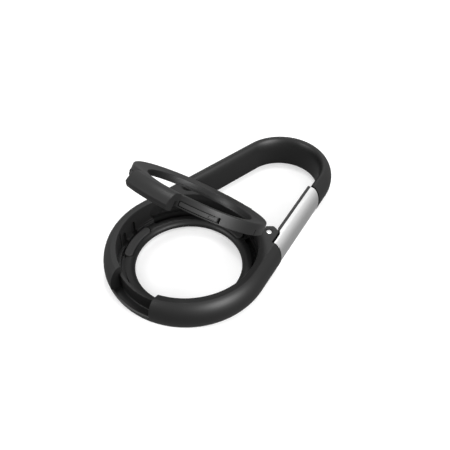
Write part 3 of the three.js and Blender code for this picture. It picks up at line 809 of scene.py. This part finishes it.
def gate_pin():
    """The rivet that the gate turns on, with a slightly domed head at each end."""
    dome = 0.2
    low, high = 0.15 + dome, HEIGHT - 0.05 - dome
    angles = [math.radians(15 * i) for i in range(6)]
    crown = [(GATE_PIN_R * math.cos(a), dome * math.sin(a)) for a in angles]
    levels = [(r, low - rise) for r, rise in reversed(crown)]
    levels += [(r, high + rise) for r, rise in crown]
    rings = [[(x, y, z) for x, y in circle(PIVOT_N, PIVOT_T, r, 64)] for r, z in levels]
    piece = skin("gate_rivet", rings)
    finished(piece, "frame", PIN_STEEL, "gate_pin", ON_RAIL, edge=0)


def lid_hinge_pin():
    piece = hinge_rod("hinge_rod", HINGE_PIN_R, -HINGE_HALF + 0.1, HINGE_HALF - 0.1)
    finished(piece, "frame", PIN_STEEL, "lid_hinge_pin", edge=0.12)


def gate_spring():
    """Torsion spring: coils round the gate's pin, with a short leg at each end."""
    wire, coil_r, turns, pitch = 0.17, 1.3, 2.25, 0.42
    base = FORK_Z[0] + 1.9
    steps, leg_steps, sides = 90, 3, 10
    path = []
    for i in range(-leg_steps, steps + leg_steps + 1):
        turn = turns * i / steps
        r = coil_r + 0.15 * max(0, -i, i - steps)
        a = turn * 2 * math.pi
        climb = base + pitch * min(max(turn, 0), turns)
        path.append(Vector((PIVOT_N + r * math.cos(a), PIVOT_T + r * math.sin(a), climb)))
    rings = []
    for i, point in enumerate(path):
        ahead = (path[min(i + 1, len(path) - 1)] - path[max(i - 1, 0)]).normalized()
        side = ahead.cross(Vector((0, 0, 1))).normalized()
        up = side.cross(ahead)
        section = circle(0, 0, wire, sides)
        rings.append([point + side * across + up * rise for across, rise in section])
    spring = skin("torsion_spring", rings)
    finished(spring, "frame", PIN_STEEL, "gate_spring", ON_RAIL, edge=0)


body_frame()
seat_pads()
lid_ring()
snap_bar(-1, "left")
snap_bar(1, "right")
gate_sleeve()
gate_core()
gate_pin()
lid_hinge_pin()
gate_spring()

# ---------- Camera, floor and light ----------

# The camera looks at the target, in millimetres, from this direction and this distance.
target = Vector((-2.276, 17.228, 0))
azimuth, elevation, distance = math.radians(39.395), math.radians(44.808), 171.796
back = Vector(
    (
        math.sin(azimuth) * math.cos(elevation),
        -math.cos(azimuth) * math.cos(elevation),
        math.sin(elevation),
    )
)
camera = bpy.data.objects.new("camera", bpy.data.cameras.new("camera"))
camera.data.lens = 50.606
camera.data.sensor_width = 36
camera.data.clip_start = 0.005
camera.location = TO_ROW @ (target + back * distance)
camera.rotation_mode = "QUATERNION"
camera.rotation_quaternion = (-back).to_track_quat("-Z", "Y")
bpy.context.scene.collection.objects.link(camera)
bpy.context.scene.camera = camera

# A white floor, in metres, a hair below the keyring.
floor_half, floor_z = 4, -0.00003
floor_corners = [(x * floor_half, y * floor_half) for x, y in ((-1, -1), (1, -1), (1, 1), (-1, 1))]
floor_mesh = bpy.data.meshes.new("floor")
floor_mesh.from_pydata([(x, y, floor_z) for x, y in floor_corners], [], [(0, 1, 2, 3)])
floor = bpy.data.objects.new("floor", floor_mesh)
bpy.context.scene.collection.objects.link(floor)
paper, _, _, paper_shader = principled("paper")
paper_shader.inputs["Base Color"].default_value = (0.8, 0.8, 0.8, 1)
paper_shader.inputs["Emission Color"].default_value = (1, 1, 1, 1)
paper_shader.inputs["Emission Strength"].default_value = 0.27
paper_shader.inputs["Roughness"].default_value = 0.9
paper_shader.inputs["Specular IOR Level"].default_value = 0.1
floor_mesh.materials.append(paper)
floor.visible_glossy = False
floor.visible_diffuse = False


def softbox(name, azimuth, elevation, distance, size, power):
    """A round soft light aimed at the middle of the keyring, in degrees, metres and watts."""
    az, el = math.radians(azimuth), math.radians(elevation)
    towards = Vector((math.cos(az) * math.cos(el), math.sin(az) * math.cos(el), math.sin(el)))
    light = bpy.data.lights.new(name, "AREA")
    light.shape = "DISK"
    light.size = size
    light.energy = power
    lamp = bpy.data.objects.new(name, light)
    lamp.location = towards * distance
    lamp.rotation_mode = "QUATERNION"
    lamp.rotation_quaternion = (-towards).to_track_quat("-Z", "Y")
    bpy.context.scene.collection.objects.link(lamp)


softbox("right", -10, 20, 0.55, 0.34, 4.2)
softbox("left", -118, 24, 0.55, 0.2, 1.2)
softbox("top", 125, 70, 0.6, 0.12, 1.0)

world = bpy.data.worlds.new("studio")
bpy.context.scene.world = world
world.use_nodes = True
sky, sky_links = world.node_tree.nodes, world.node_tree.links
direction = sky.new("ShaderNodeTexCoord")
height = sky.new("ShaderNodeSeparateXYZ")
brightness = sky.new("ShaderNodeMapRange")
brightness.inputs["From Min"].default_value = -0.45
brightness.inputs["From Max"].default_value = 0.75
brightness.inputs["To Min"].default_value = 0.3
brightness.inputs["To Max"].default_value = 0.95
sky_links.new(direction.outputs["Generated"], height.inputs["Vector"])
sky_links.new(height.outputs["Z"], brightness.inputs["Value"])
sky_links.new(brightness.outputs["Result"], sky["Background"].inputs["Strength"])
sky["Background"].inputs["Color"].default_value = (1, 1, 1, 1)

scene = bpy.context.scene
scene.view_settings.view_transform = "Standard"
